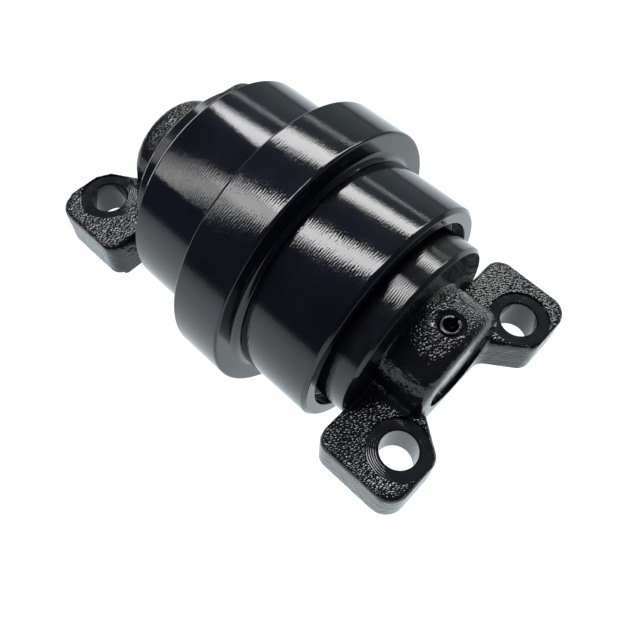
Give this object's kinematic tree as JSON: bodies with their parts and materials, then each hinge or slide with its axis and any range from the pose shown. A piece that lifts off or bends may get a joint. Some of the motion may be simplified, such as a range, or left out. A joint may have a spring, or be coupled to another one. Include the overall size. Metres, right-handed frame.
{
  "type": "track roller",
  "caption": "Undercarriage track roller with a central guide flange between two treads, turning on a fixed shaft held by cast collars with bolt ears.",
  "frame": {"origin": "middle of the roller on the shaft's axis", "axes": "+Y along the shaft, away from the end with the oil plug; +Z towards the side the bolt heads and the front lock pin are on, so the mounting faces look down -Z; X across the ears"},
  "size_m": [0.13, 0.2068, 0.13],
  "materials": {
    "shell_enamel": "gloss black enamel over a turned forging",
    "collar_enamel": "gloss black enamel over a rough casting",
    "ground_steel": "ground and induction-hardened shaft steel",
    "bushing_bronze": "machined bronze bushing",
    "seal_ring_iron": "lapped hard iron",
    "seal_rubber": "moulded nitrile",
    "spring_pin_steel": "oiled spring steel under thin enamel",
    "plug_steel": "phosphated steel",
    "washer_copper": "soft copper"
  },
  "bodies": {
    "frame_side": {"shaft": "ground_steel", "oil_plug": "plug_steel", "oil_plug_washer": "washer_copper", "collar_front": "collar_enamel", "lock_pin_front": "spring_pin_steel", "seal_ring_fixed_front": "seal_ring_iron", "toric_ring_fixed_front": "seal_rubber", "shaft_oring_front": "seal_rubber", "collar_rear": "collar_enamel", "lock_pin_rear": "spring_pin_steel", "seal_ring_fixed_rear": "seal_ring_iron", "toric_ring_fixed_rear": "seal_rubber", "shaft_oring_rear": "seal_rubber"},
    "roller": {"roller_shell": "shell_enamel", "bushing_front": "bushing_bronze", "seal_ring_turning_front": "seal_ring_iron", "toric_ring_turning_front": "seal_rubber", "bushing_rear": "bushing_bronze", "seal_ring_turning_rear": "seal_ring_iron", "toric_ring_turning_rear": "seal_rubber"}
  },
  "joints": [
    {"name": "roller_spin", "type": "hinge", "parent": "frame_side", "child": "roller", "pos_m": [0, 0, 0], "axis": [0, 1, 0], "continuous": true}
  ]
}
